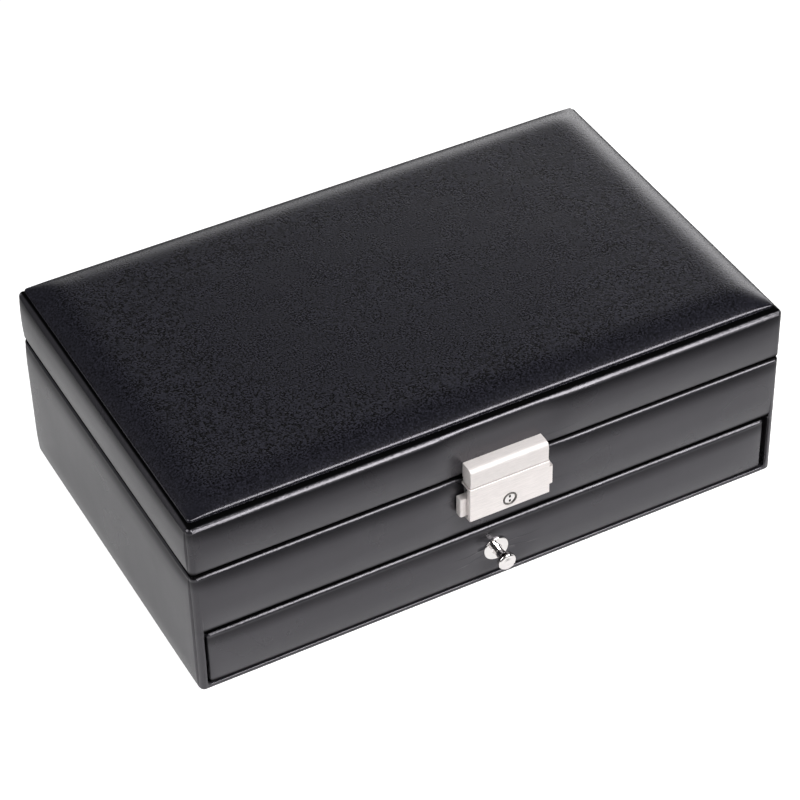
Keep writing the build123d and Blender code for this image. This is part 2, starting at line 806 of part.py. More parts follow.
def build():
    """Every piece of the box by its name."""
    pieces = {}
    case = case_boards()
    lid = lid_boards()
    skin = case_leather()
    lid_skin = lid_leather()
    lock_places = lock_rivet_places()
    case_places = hinge_rivet_places(-1)
    lid_places = hinge_rivet_places(1)
    hasp_places = hasp_rivet_places()
    behind_fascia = -inner_y - leather_t
    behind_back = inner_y + leather_t
    case["front_fascia"] = drilled(case["front_fascia"], lock_places, front_y - beyond, behind_fascia)
    case["back_wall"] = drilled(case["back_wall"], case_places, behind_back, half_d + beyond)
    lid["lid_front_rail"] = drilled(lid["lid_front_rail"], hasp_places, front_y - beyond, behind_fascia)
    lid["lid_back_rail"] = drilled(lid["lid_back_rail"], lid_places, behind_back, half_d + beyond)
    skin = drilled(skin, lock_places, front_y - beyond, behind_fascia)
    skin = drilled(skin, case_places, behind_back, half_d + beyond)
    lid_skin = drilled(lid_skin, hasp_places, front_y - beyond, behind_fascia)
    lid_skin = drilled(lid_skin, lid_places, behind_back, half_d + beyond)
    pieces.update(case)
    pieces["case_leather"] = skin
    pieces["underside_felt"] = underside_felt()
    pieces["tray_lining"] = tray_lining()
    pieces.update(ring_rolls())

    pieces.update(lid)
    pieces["lid_leather"] = lid_skin
    pieces["lid_lining"] = lid_lining()
    pieces["lid_pad_card"] = pad_card()
    pieces["lid_pad"] = lid_pad()

    screw_hole = knob_hole(screw_r + screw_clear)
    pieces["drawer_front"] = front_block(leather_t) - screw_hole
    pieces["drawer_front_leather"] = front_leather() - screw_hole
    pieces.update(drawer_box())
    pieces.update(drawer_lining_and_dividers())
    pieces["drawer_lining"] -= knob_hole(screw_head_r + 2 * screw_clear)
    pieces.update(knob_pieces())

    for name, x in (("left", -hinge_spacing / 2), ("right", hinge_spacing / 2)):
        case_leaf = hinge_leaf(x, -1)
        lid_leaf = hinge_leaf(x, 1)
        pieces[f"{name}_hinge_case_leaf"] = drilled(case_leaf, case_places, half_d - beyond, half_d + beyond)
        pieces[f"{name}_hinge_lid_leaf"] = drilled(lid_leaf, lid_places, half_d - beyond, half_d + beyond)
        pin = Rot(0, 90, 0) * Cylinder(hinge_pin_r, hinge_w)
        pieces[f"{name}_hinge_pin"] = Pos(x, hinge_axis_y, hinge_axis_z) * pin
    pieces["case_hinge_rivets"] = rivet_group(case_places, half_d + leaf_t, behind_back)
    pieces["lid_hinge_rivets"] = rivet_group(lid_places, half_d + leaf_t, behind_back)

    pieces["lock_backplate"] = lock_backplate()
    pieces["lock_cover"] = lock_cover()
    pieces["lock_rivets"] = rivet_group(lock_places, front_y - backplate_t, behind_fascia)
    pieces["left_button"] = left_button()
    pieces["right_button"] = right_button()
    pieces["left_button_spring"] = button_spring(-1)
    pieces["right_button_spring"] = button_spring(1)
    pieces["cylinder_sleeve"] = cylinder_sleeve()
    pieces["key_plug"] = key_plug()
    pieces["lock_cam"] = lock_cam()

    pieces["hasp_cover"] = hasp_cover()
    pieces["hasp_tongue"] = hasp_tongue()
    pieces["hasp_rivets"] = rivet_group(hasp_places, front_y - tongue_t, behind_fascia)
    return pieces


if __name__ == "__main__":
    os.makedirs("parts", exist_ok=True)
    for node, shape in build().items():
        export_step(shape, f"parts/{node}.step")
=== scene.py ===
"""A black leather ring box with a padded lid, a nickel lock and one drawer, in a plain studio."""
import math
from typing import NamedTuple

import bmesh
import bpy
import numpy as np
from mathutils import Matrix, Vector


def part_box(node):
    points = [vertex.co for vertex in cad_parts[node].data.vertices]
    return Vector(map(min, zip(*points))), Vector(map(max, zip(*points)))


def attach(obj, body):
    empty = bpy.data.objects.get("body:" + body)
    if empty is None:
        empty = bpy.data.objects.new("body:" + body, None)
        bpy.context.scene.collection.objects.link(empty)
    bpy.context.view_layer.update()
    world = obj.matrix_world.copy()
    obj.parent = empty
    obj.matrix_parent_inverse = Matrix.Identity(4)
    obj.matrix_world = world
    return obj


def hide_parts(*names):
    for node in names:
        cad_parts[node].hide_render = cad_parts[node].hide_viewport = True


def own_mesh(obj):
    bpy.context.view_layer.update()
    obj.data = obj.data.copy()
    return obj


bl_info = {
    "name": "Leather ring box",
    "version": (1, 0, 0),
    "blender": (4, 5, 0),
    "location": "View3D > Sidebar > Ring box",
    "description": "Leather, padding, velvet and nickel for a ring box with a drawer",
    "category": "Add Mesh",
}

# The fixed frame, and the places that are read from it, in metres
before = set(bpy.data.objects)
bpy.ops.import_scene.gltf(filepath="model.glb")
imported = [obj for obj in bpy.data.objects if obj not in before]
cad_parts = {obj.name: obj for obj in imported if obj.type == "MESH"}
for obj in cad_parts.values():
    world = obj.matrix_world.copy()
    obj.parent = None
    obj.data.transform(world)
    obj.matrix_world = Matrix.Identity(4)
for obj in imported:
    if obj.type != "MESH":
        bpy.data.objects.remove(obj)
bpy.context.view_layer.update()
MM = 0.001
case_low, case_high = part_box("case_leather")
lid_low, lid_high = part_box("lid_leather")
pad_low, pad_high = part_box("lid_pad")
drawer_low, drawer_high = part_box("drawer_front_leather")
lock_low, lock_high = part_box("lock_cover")
knob_low, knob_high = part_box("knob_rosette")
leaf_low, leaf_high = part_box("left_hinge_case_leaf")
OPENING_Z = drawer_high.z + 1.0 * MM

# Leather wraps: depth of the outer skin, reach of the swell and of the painted seam shade, and the corners'
# radius
SKIN_REACH = 1.9 * MM
SWELL_REACH = 12.3 * MM
SWELL_FULLNESS = 1.9
SEAM_SHADE_REACH = 2.9 * MM
CORNER_R = 2.2 * MM
CORNER_EASE = 5 * MM
OPENING_MARGIN = 3 * MM
FRONT_DEPTH = 2 * MM
LOCK_PRESS = (18 * MM, 30 * MM)
KNOB_PRESS = (5 * MM, 15 * MM)
# Depth below each upper rim where the painted black shade on the rim's top begins to fade
RIM_SHADE_DEPTH = {case_high.z: 0.65 * MM, lid_high.z: 0.15 * MM, drawer_high.z: 0.28 * MM}
# Distances from an edge where the wraps are cut, and the even cuts elsewhere
EDGE_CUTS = [sign * value * MM for sign in (-1, 1) for value in (0.35, 0.75, 1.2, 1.7, 2.3, 3.0, 4.2)]
LONG_CUT = 6 * MM
TALL_CUT = 2 * MM

# Padded panel and ring rolls
PAD_EDGE_H = 1.5 * MM
PAD_TURN_R = 0.9 * MM
PAD_CORNER_R = 1.2 * MM
PAD_CORNER_PULL = 0.5 * MM
PAD_FULLNESS = 2.5
PAD_STEPS = [value * MM for value in (0.0, 0.10, 0.25, 0.5, 0.9, 1.4, 2.2, 3.6, 5.5, 8.5, 12.0, 16.0)]
PAD_STEP = 6 * MM
ROLL_ENDS = [value * MM for value in (0.0, 0.6, 1.8, 3.8, 7.0, 11.0)]
ROLL_STEP = 5 * MM
ROLL_SWELL = 0.45 * MM
AIR_PRESSURE = 4.0
CLOTH_MOMENTS = 20

# Springs behind the buttons, and rivets of the hinges
WIRE_R = 0.2 * MM
COIL_TURNS = 5
COIL_STEPS = 24
LEAF_T = 0.8 * MM
RIVET_OFFSET = 9 * MM
RIVET_MARGIN = 5 * MM
RIVET_SIZES = {"Head radius": 1.3 * MM, "Head height": 0.5 * MM, "Shank radius": 0.6 * MM}

# CAD nodes that keep their own mesh, by finish
BOARD_NODES = ("base_board", "left_wall", "right_wall", "back_wall", "front_fascia", "tray_floor",
               "lid_left_rail", "lid_right_rail", "lid_front_rail", "lid_back_rail", "lid_board",
               "lid_pad_card", "drawer_front", "drawer_left_side", "drawer_right_side", "drawer_back",
               "drawer_bottom")
VELVET_NODES = ("tray_lining", "lid_lining", "drawer_lining", "drawer_divider_1", "drawer_divider_2")
SATIN_NODES = ("lock_cover", "left_button", "right_button")
POLISHED_NODES = ("knob", "knob_rosette", "key_plug")
STEEL_NODES = ("lock_backplate", "lock_cam", "hasp_tongue", "knob_screw", "left_hinge_pin",
               "right_hinge_pin", "lock_rivets", "hasp_rivets")
HINGE_NODES = ("left_hinge_case_leaf", "right_hinge_case_leaf", "left_hinge_lid_leaf",
               "right_hinge_lid_leaf")
ROLL_NODES = [f"ring_roll_{index + 1}" for index in range(8)]

# Tint of the reflections on leather, and the colours of steel, rivets, hinge leaves and the key's sleeve
SHEEN_TINT = (0.97, 0.93, 1.0, 1.0)
STEEL = (0.62, 0.62, 0.62)
RIVET_NICKEL = (0.76, 0.75, 0.73)
HINGE_NICKEL = (0.74, 0.73, 0.71)
DARK_NICKEL = (0.19, 0.18, 0.17)
WHITE = (1.0, 1.0, 1.0, 1.0)

# Studio: what the camera and the lights face, the floor with the reach of its painted pool of light, and the
# bright backdrop behind the box
STUDIO_TARGET = Vector((0.0003, 0.0002, 0.0329))
LIGHT_DISTANCE = 1.3
FLOOR_HALF = 6.0
LIGHT_POOL_REACH = 0.24
BACKDROP_WAY = (0.85, 0.53, 0.0)
BACKDROP_LIGHT = 3.5
ROOM_LIGHT = 0.05


# Settings that a user would change

def colour_setting(name, description, default):
    return bpy.props.FloatVectorProperty(name=name, description=description, subtype="COLOR", size=3, min=0,
                                         max=1, default=default)


def measure(name, description, default, unit="LENGTH"):
    return bpy.props.FloatProperty(name=name, description=description, unit=unit, default=default)


class LeatherSettings(bpy.types.PropertyGroup):
    colour: colour_setting("Leather colour", "Colour of the smooth leather", (0.0135, 0.0130, 0.0155))
    pad_colour: colour_setting("Pad colour", "Colour of the fine-grained leather on the lid",
                               (0.0062, 0.0062, 0.0088))
    grain: measure("Grain", "Width of the leather's pores", 0.7 * MM)
    bulge: measure("Bulge", "How far the leather swells over its padding", 1.5 * MM)


class PadSettings(bpy.types.PropertyGroup):
    edge_rise: measure("Edge rise", "Height that the pad gains just inside its edge", 3.9 * MM)
    edge_reach: measure("Edge reach", "Width of the rounded margin", 16.0 * MM)
    crown: measure("Crown", "Further rise towards the middle", 0.9 * MM)
    swell: measure("Swell", "Most that the simulated leather may move", 0.7 * MM)


class MetalSettings(bpy.types.PropertyGroup):
    satin: colour_setting("Satin nickel", "Colour of the lock and the hasp", (0.76, 0.715, 0.70))
    polished: colour_setting("Polished nickel", "Colour of the knob and the key plug", (0.68, 0.655, 0.645))


class StudioSettings(bpy.types.PropertyGroup):
    azimuth: measure("Azimuth", "Camera's angle round the box", math.radians(-27.248), "ROTATION")
    elevation: measure("Elevation", "Camera's angle above the floor", math.radians(40.776), "ROTATION")
    roll: measure("Roll", "Camera's turn about its own view", math.radians(-1.460), "ROTATION")
    distance: measure("Distance", "Camera's distance from its target", 1.2075)
    lens: bpy.props.FloatProperty(name="Lens", description="Focal length in millimetres", default=127.42)
    key: measure("Key", "Power of the soft light in front", 24.0, "POWER")
    side: measure("Side", "Power of the soft light on the left", 16.0, "POWER")


class RingBoxSettings(bpy.types.PropertyGroup):
    leather: bpy.props.PointerProperty(type=LeatherSettings)
    pad: bpy.props.PointerProperty(type=PadSettings)
    metal: bpy.props.PointerProperty(type=MetalSettings)
    studio: bpy.props.PointerProperty(type=StudioSettings)


# Shader maths

class Signal:
    """A socket's output, so that shader maths reads as a formula."""

    def __init__(self, finish, socket):
        self.finish = finish
        self.socket = socket

    def maths(self, operation, *values):
        return self.finish.node("ShaderNodeMath", {"operation": operation}, [self, *values])

    def __add__(self, other):
        return self.maths("ADD", other)

    def __sub__(self, other):
        return self.maths("SUBTRACT", other)

    def __rsub__(self, other):
        return self.finish.node("ShaderNodeMath", {"operation": "SUBTRACT"}, [other, self])

    def __mul__(self, other):
        return self.maths("MULTIPLY", other)

    def __truediv__(self, other):
        return self.maths("DIVIDE", other)

    def __pow__(self, other):
        return self.maths("POWER", other)

    def __abs__(self):
        return self.maths("ABSOLUTE")

    __radd__ = __add__
    __rmul__ = __mul__

    def above(self, other):
        return self.maths("GREATER_THAN", other)

    def below(self, other):
        return self.maths("LESS_THAN", other)

    def at_least(self, other):
        return self.maths("MAXIMUM", other)

    def at_most(self, other):
        return self.maths("MINIMUM", other)

    def eased(self, low, high, from_value=0.0, to_value=1.0):
        """The signal brought smoothly from one span to another."""
        return self.finish.node("ShaderNodeMapRange", {"interpolation_type": "SMOOTHSTEP"},
                                {"Value": self, "From Min": low, "From Max": high,
                                 "To Min": from_value, "To Max": to_value})


class Finish:
    """A node tree under construction, for a material or for the world."""

    def __init__(self, owner):
        owner.use_nodes = True
        self.owner = owner
        self.tree = owner.node_tree
        self.tree.nodes.clear()

    def node(self, kind, settings=None, inputs=None, output=0):
        """Add a node: its settings first, then the values or links of its sockets."""
        made = self.tree.nodes.new(kind)
        for name, value in (settings or {}).items():
            setattr(made, name, value)
        places = inputs.items() if isinstance(inputs, dict) else enumerate(inputs or [])
        for place, value in places:
            if isinstance(value, Signal):
                self.tree.links.new(value.socket, made.inputs[place])
            else:
                made.inputs[place].default_value = value
        return Signal(self, made.outputs[output]) if made.outputs else None

    def position(self):
        """The place on the object, in metres."""
        return self.node("ShaderNodeTexCoord", output=3)

    def along(self, place, axis):
        """One coordinate of a place: 0 for X, 1 for Y and 2 for Z."""
        return self.node("ShaderNodeSeparateXYZ", None, [place], output=axis)

    def stretched(self, place, scale):
        """A place with each coordinate multiplied."""
        return self.node("ShaderNodeVectorMath", {"operation": "MULTIPLY"}, [place, scale])

    def mottle(self, place, size, detail=2.0, roughness=0.5):
        """Smooth noise between 0 and 1, with blotches of about one size in metres."""
        inputs = {"Vector": place, "Scale": 1 / size, "Detail": detail, "Roughness": roughness}
        return self.node("ShaderNodeTexNoise", None, inputs)

    def cells(self, place, size):
        """Distance to the edges of small cells."""
        return self.node("ShaderNodeTexVoronoi", {"feature": "DISTANCE_TO_EDGE"},
                         {"Vector": place, "Scale": 1 / size})

    def tint(self, amount, first, second):
        """A colour between two colours."""
        inputs = {0: amount, 6: first, 7: second}
        return self.node("ShaderNodeMix", {"data_type": "RGBA"}, inputs, output=2)

    def relief(self, height):
        """A normal from a height in metres."""
        return self.node("ShaderNodeBump", None, {"Height": height, "Distance": 1.0, "Strength": 1.0})

    def surface(self, painted_shade=None, **sockets):
        """The shader at the end of a material, turned matt black by painted shade. Underscores stand for
        spaces.
        """
        inputs = {name.replace("_", " "): value for name, value in sockets.items()}
        shader = self.node("ShaderNodeBsdfPrincipled", None, inputs)
        # Painted shade: a matt black shader is mixed over the material by the given mask
        if painted_shade:
            painted_black = {"Base Color": (0.001, 0.001, 0.001, 1.0), "Roughness": 0.8, "Specular IOR Level": 0.0}
            dark = self.node("ShaderNodeBsdfPrincipled", None, painted_black)
            shader = self.node("ShaderNodeMixShader", None, [painted_shade, shader, dark])
        self.node("ShaderNodeOutputMaterial", None, [shader])
        return self.owner


def shade(colour, factor):
    """A colour with four values, made darker or lighter."""
    return tuple(channel * factor for channel in colour[:3]) + (1.0,)


def new_finish(name):
    return Finish(bpy.data.materials.new(name))


# Finishes

def leather_grain(finish, place, size, depth):
    """Pores and fine creases of smooth leather, as a height."""
    pore_share = 0.35
    pores = finish.cells(place, size).at_most(pore_share) * (depth / pore_share)
    speckle = finish.mottle(place, size=0.6 * size, detail=3.0, roughness=0.6) * (0.8 * depth)
    return pores + speckle


def on_front(finish, place):
    """1 on the front of the case and 0 elsewhere."""
    return finish.along(place, 1).below(case_low.y + FRONT_DEPTH)


def edge_creases(finish, place, height, levels, reach, depth):
    """Small creases across the edges where the leather turns a corner."""
    near = None
    front = on_front(finish, place)
    for level in levels:
        closeness = abs(height - level).eased(0.0, reach, 1.0, 0.0)
        closeness = closeness * front if level == OPENING_Z else closeness
        near = closeness if near is None else near.at_least(closeness)
    crossing = finish.stretched(place, (1.0, 1.0, 0.35))
    creases = finish.mottle(crossing, size=1.5 * MM, detail=3.0)
    slow = finish.mottle(place, size=15 * MM, detail=1.0)
    return creases * near * slow * depth


def painted_seam_shade(finish, place, height, levels):
    """Painted shade from 0 to 1: black in the seams and on top of each rim, and a soft painted shadow below
    it.
    """
    lower, upper = levels
    darkest_shade = 0.97
    above = height - lower
    # Painted shade over the lower turned edge
    depth = above.eased(1.1 * MM, SEAM_SHADE_REACH, darkest_shade, 0.0) * above.above(-0.3 * MM)
    if lower == OPENING_Z:
        beside = abs(finish.along(place, 0)).below(case_high.x - OPENING_MARGIN)
        depth = depth * on_front(finish, place) * beside
    # Painted shade on the top of the upper rim, and a painted shadow below it
    shade_ends = RIM_SHADE_DEPTH[upper]
    down = upper - height
    rim = down.eased(shade_ends, shade_ends + 0.4 * MM, darkest_shade, 0.0)
    shadow = down.eased(1.5 * MM, 2.6 * MM) * down.eased(2.4 * MM, 8.5 * MM, 0.50, 0.0)
    return depth.at_least(rim).at_least(shadow)


def leather_finish(name, settings, levels):
    """Smooth black leather: fine grain, slow waves, creases at its turned edges and painted shade at its
    seams.
    """
    finish = new_finish(name)
    place = finish.position()
    height = finish.along(place, 2)
    slow = finish.mottle(place, size=22 * MM)
    relief = slow * (0.10 * MM)
    relief = relief + edge_creases(finish, place, height, levels, reach=3.0 * MM, depth=0.26 * MM)
    relief = relief + leather_grain(finish, place, settings.grain, depth=0.008 * MM)
    blotches = finish.mottle(place, size=9 * MM, detail=3.0)
    colour = finish.tint(blotches, shade(settings.colour, 0.8), shade(settings.colour, 1.25))
    polish = finish.mottle(place, size=30 * MM, detail=3.0)
    # Painted shade: the seams, the rims' tops and a band below each rim turn matt black
    painted_shade = painted_seam_shade(finish, place, height, levels)
    return finish.surface(painted_shade=painted_shade, Base_Color=colour, Roughness=0.24 + polish * 0.09, IOR=1.54,
                          Specular_Tint=SHEEN_TINT, Normal=finish.relief(relief))


def pad_finish(settings):
    """Fine-grained leather over foam: a matt speckle, weaker near the left and front edges."""
    finish = new_finish("pad_leather")
    place = finish.position()
    slow = finish.mottle(place, size=35 * MM)
    speckle = finish.mottle(place, size=0.8 * MM, detail=1.0)
    from_left = (finish.along(place, 0) - pad_low.x).eased(3 * MM, 18 * MM, 0.35, 1.0)
    from_front = (finish.along(place, 1) - pad_low.y).eased(3 * MM, 18 * MM, 0.35, 1.0)
    pressed = speckle * from_left * from_front
    relief = slow * (0.16 * MM) + pressed * (0.10 * MM)
    relief = relief + leather_grain(finish, place, settings.grain, depth=0.012 * MM)
    contrast = ((speckle - 0.5) * from_left * from_front + 0.5).eased(0.36, 0.64)
    colour = finish.tint(contrast, shade(settings.pad_colour, 0.0), shade(settings.pad_colour, 2.2))
    patches = finish.mottle(place, size=14 * MM, detail=3.0)
    return finish.surface(Base_Color=colour, Roughness=0.22 + patches * 0.06 + pressed * 0.06, IOR=1.44,
                          Specular_Tint=SHEEN_TINT, Normal=finish.relief(relief))


def velvet_finish(name):
    """Short black pile that lightens where it is brushed up."""
    finish = new_finish(name)
    place = finish.position()
    pile = finish.mottle(place, size=0.35 * MM, roughness=0.7)
    brushed = finish.mottle(finish.stretched(place, (0.5, 1.0, 1.0)), size=11 * MM, detail=3.0, roughness=0.6)
    brushed = brushed.eased(0.3, 0.75)
    colour = finish.tint(brushed * 0.7 + pile * 0.3, (0.013, 0.013, 0.015, 1.0), (0.033, 0.032, 0.036, 1.0))
    return finish.surface(Base_Color=colour, Roughness=0.9, Sheen_Weight=0.6, Sheen_Roughness=0.4,
                          Sheen_Tint=(0.5, 0.5, 0.55, 1.0), Specular_IOR_Level=0.1,
                          Normal=finish.relief(pile * (0.09 * MM)))


def fibre_finish(name, grain_way, size, fineness, dark, pale, depth, **sockets):
    """Short matted fibres, as on felt or on the face of greyboard."""
    finish = new_finish(name)
    place = finish.position()
    fibres = finish.mottle(finish.stretched(place, grain_way), size, detail=4.0, roughness=fineness)
    colour = finish.tint(fibres, dark, pale)
    return finish.surface(Base_Color=colour, Normal=finish.relief(fibres * depth), **sockets)


def felt_finish():
    return fibre_finish("black_felt", (1.0, 0.3, 1.0), 0.8 * MM, 0.7, (0.012, 0.012, 0.013, 1.0),
                        (0.045, 0.045, 0.047, 1.0), 0.12 * MM, Roughness=0.95, Specular_IOR_Level=0.1)


def board_finish():
    return fibre_finish("black_board", (0.4, 1.0, 1.0), 1.2 * MM, 0.65, (0.030, 0.029, 0.029, 1.0),
                        (0.070, 0.068, 0.066, 1.0), 0.05 * MM, Roughness=0.8)


def brushed_finish(name, colour, roughness, streak, metallic=1.0):
    """Satin metal with fine lines along X. Below 1, metallic stands for a lacquer that scatters light."""
    finish = new_finish(name)
    place = finish.position()
    lines = finish.mottle(finish.stretched(place, (0.06, 1.0, 1.0)), size=streak, detail=3.0, roughness=0.7)
    cloud = finish.mottle(place, size=6 * MM)
    tone = finish.tint(lines.eased(0.3, 0.7), shade(colour, 0.91), shade(colour, 1.05))
    rough = roughness + lines * 0.10 + cloud * 0.05
    return finish.surface(Base_Color=tone, Metallic=metallic, Roughness=rough,
                          Normal=finish.relief(lines * (0.010 * MM)))


def polished_finish(name, colour):
    """Polished nickel with faint handling marks."""
    finish = new_finish(name)
    place = finish.position()
    marks = finish.mottle(place, size=1.5 * MM, detail=4.0, roughness=0.7)
    tone = finish.tint(marks, shade(colour, 0.97), shade(colour, 1.02))
    return finish.surface(Base_Color=tone, Metallic=1.0, Roughness=0.07 + marks * 0.06,
                          Normal=finish.relief(marks * (0.002 * MM)))


def dress(names, material):
    """Give CAD nodes their finish."""
    for name in names:
        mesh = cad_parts[name].data
        mesh.materials.clear()
        mesh.materials.append(material)


# Mesh helpers

def placed(name, data):
    """An object with its data, in the scene."""
    made = bpy.data.objects.new(name, data)
    bpy.context.scene.collection.objects.link(made)
    return made


def shade_smooth(mesh):
    mesh.polygons.foreach_set("use_smooth", [True] * len(mesh.polygons))


def mesh_object(name, mesh, material, smooth=True):
    """An object at the origin with its place in its mesh."""
    mesh.name = name
    mesh.materials.clear()
    mesh.materials.append(material)
    if smooth:
        shade_smooth(mesh)
    return placed(name, mesh)


def grid_faces(columns, rows):
    """Quads over a grid whose vertices run along X first."""
    faces = []
    for row in range(rows - 1):
        for column in range(columns - 1):
            first = row * columns + column
            faces.append((first, first + 1, first + 1 + columns, first + columns))
    return faces


def border_of(columns, rows):
    """Places of a grid's border vertices, in order round it."""
    bottom = list(range(columns))
    right = [row * columns + columns - 1 for row in range(1, rows)]
    top = [(rows - 1) * columns + column for column in range(columns - 2, -1, -1)]
    left = [row * columns for row in range(rows - 2, 0, -1)]
    return bottom + right + top + left


def spaced(low, high, margin_steps, middle_step):
    """Coordinates from low to high: close together at both ends, even between them."""
    *outer_steps, margin = margin_steps
    outer_steps = np.array(outer_steps)
    count = max(2, round((high - low - 2 * margin) / middle_step))
    inner = np.linspace(low + margin, high - margin, count + 1)
    return np.concatenate([low + outer_steps, inner, (high - outer_steps)[::-1]])


def finished_mesh(piece):
    """The mesh of an object with its modifiers applied."""
    graph = bpy.context.evaluated_depsgraph_get()
    return bpy.data.meshes.new_from_object(piece.evaluated_get(graph))


def subdivided(piece, levels):
    """The mesh of an object with its faces divided into smaller, rounder ones."""
    subdivision = piece.modifiers.new("subdivision", "SUBSURF")
    subdivision.levels = levels
    subdivision.render_levels = levels
    return finished_mesh(piece)


def inflate(piece, cap, held):
    """Swell a closed mesh with a cloth simulation, no vertex moving further than cap."""
    rest = np.array([vertex.co for vertex in piece.data.vertices])
    group = piece.vertex_groups.new(name="held")
    group.add(held, 1.0, "REPLACE")
    cloth = piece.modifiers.new("cloth", "CLOTH")
    cloth.settings.use_pressure = True
    cloth.settings.uniform_pressure_force = AIR_PRESSURE
    cloth.settings.vertex_group_mass = "held"
    cloth.settings.effector_weights.gravity = 0.0
    cloth.settings.quality = 6
    cloth.settings.mass = 0.3
    cloth.settings.tension_stiffness = 12
    cloth.settings.compression_stiffness = 12
    cloth.settings.bending_stiffness = 0.6
    scene = bpy.context.scene
    for moment in range(1, 1 + CLOTH_MOMENTS):
        scene.frame_set(moment)
    graph = bpy.context.evaluated_depsgraph_get()
    swollen = piece.evaluated_get(graph)
    moved = np.array([vertex.co for vertex in swollen.data.vertices]) - rest
    piece.modifiers.remove(cloth)
    piece.vertex_groups.remove(group)
    scene.frame_set(1)
    length = np.linalg.norm(moved, axis=1, keepdims=True)
    factor = np.minimum(1.0, cap / np.maximum(length, 1e-9))
    piece.data.vertices.foreach_set("co", (rest + moved * factor).ravel())
    piece.data.update()


# Leather wraps

class Edge(NamedTuple):
    """A turned edge of a wrap: its height, whether it faces up or down, and its radius."""
    level: float
    upward: int
    corner_radius: float
    wall_radius: float

    def radius(self, ease):
        """The radius at a place, where ease is 0 at an upright corner and 1 away from it."""
        return self.corner_radius + (self.wall_radius - self.corner_radius) * ease


def eased_step(value, low, high):
    """0 below low, 1 above high and smooth between them."""
    share = min(max((value - low) / (high - low), 0.0), 1.0)
    return share * share * (3 - 2 * share)


def band_swell(height, low, high):
    """Swell of a band of leather between its two turned edges, from 0 to 1."""
    inside = min(height - low, high - height, SWELL_REACH)
    return 1 - (1 - max(inside, 0.0) / SWELL_REACH) ** SWELL_FULLNESS


def corner_ease(distance):
    """The leather lies tight at the upright corners and swells away from them."""
    return 1 - math.exp(-max(distance, 0.0) / CORNER_EASE)


def pressed_by_lock(x):
    """The lock and the hasp press the leather flat behind them."""
    return eased_step(abs(x - (lock_low.x + lock_high.x) / 2), *LOCK_PRESS)


def side_of(place, low, high):
    """The way out of a box at a place, how far in the place lies, and how far its upright corner is."""
    beside = min(place.x - low.x, high.x - place.x)
    ahead = min(place.y - low.y, high.y - place.y)
    middle = (low + high) / 2
    reach = high - middle
    over_x = abs(place.x - middle.x) - reach.x + CORNER_R
    over_y = abs(place.y - middle.y) - reach.y + CORNER_R
    from_middle = place - middle
    if over_x > 0 and over_y > 0:
        outward = Vector((math.copysign(over_x, from_middle.x), math.copysign(over_y, from_middle.y), 0))
        return outward.normalized(), CORNER_R - outward.length, 0.0
    if ahead < beside:
        return Vector((0, math.copysign(1, from_middle.y), 0)), ahead, beside
    return Vector((math.copysign(1, from_middle.x), 0, 0)), beside, ahead


def turned(place, outward, inside, edge, ease):
    """A place drawn back onto a rounder turned edge, where it stands out from it."""
    level, upward = edge[:2]
    radius = edge.radius(ease)
    below = (level - place.z) * upward
    if inside >= radius or below >= radius or inside < -MM or below < -MM:
        return place
    across = radius - inside
    along = radius - below
    reach = math.hypot(across, along)
    if reach <= radius:
        return place
    share = radius / reach
    drawn = place - outward * (across * (1 - share))
    return Vector((*drawn.xy, level - upward * (radius - along * share)))


def shaped_band(place, normal, low, high, upper, lower):
    """A place of a wrap on the upright faces: rounder at its turned edges and swollen between them."""
    flat = pressed_by_lock(place.x)
    outward, inside, corner = side_of(place, low, high)
    ease = corner_ease(corner)
    for edge in (upper, lower):
        place = turned(place, outward, inside, edge, ease)
    if inside > SKIN_REACH or outward.y > 0.5:
        return place
    share = band_swell(place.z, lower.level, upper.level) * ease * max(normal.dot(outward), 0.0)
    return place + outward * (share * (flat if outward.y < -0.5 else 1.0) * bulge())


def case_shape(place, normal):
    """The case's leather: the band over the drawer, and the two sides."""
    rim = Edge(case_high.z, 1, 1.5 * MM, 2.4 * MM)
    lower = Edge(case_low.z, -1, 1.2 * MM, 1.2 * MM)
    if place.y < case_low.y + SKIN_REACH and abs(place.x) < case_high.x - OPENING_MARGIN:
        if place.z < OPENING_Z:
            return place
        lower = Edge(OPENING_Z, -1, 0.8 * MM, 1.8 * MM)
    return shaped_band(place, normal, case_low, case_high, rim, lower)


def lid_shape(place, normal):
    """The lid's leather, with a wide soft shoulder."""
    shoulder = Edge(lid_high.z, 1, 2.0 * MM, 2.6 * MM)
    lower = Edge(lid_low.z, -1, 1.5 * MM, 2.4 * MM)
    return shaped_band(place, normal, lid_low, lid_high, shoulder, lower)


def drawer_shape(place, normal):
    """The drawer front's leather, pressed flat round the knob."""
    inside = place.y - drawer_low.y
    if inside > SKIN_REACH:
        return place
    corner = min(place.x - drawer_low.x, drawer_high.x - place.x)
    outward = Vector((0, -1, 0))
    ease = corner_ease(corner)
    for level, upward in ((drawer_high.z, 1), (drawer_low.z, -1)):
        place = turned(place, outward, inside, Edge(level, upward, 1.4 * MM, 1.9 * MM), ease)
    share = band_swell(place.z, drawer_low.z, drawer_high.z) * ease * max(normal.dot(outward), 0.0)
    knob = (knob_low + knob_high) / 2
    from_knob = math.hypot(place.x - knob.x, place.z - knob.z)
    return place + outward * (share * eased_step(from_knob, *KNOB_PRESS) * bulge())


def bulge():
    return bpy.context.scene.ring_box.leather.bulge


def cuts_between(low, high, step, levels):
    """Places of even cuts, with finer ones beside each level."""
    count = max(2, round((high - low) / step))
    places = [low + (high - low) * index / count for index in range(1, count)]
    for level in levels:
        places += [level + offset for offset in EDGE_CUTS]
    return sorted(place for place in places if low < place < high)


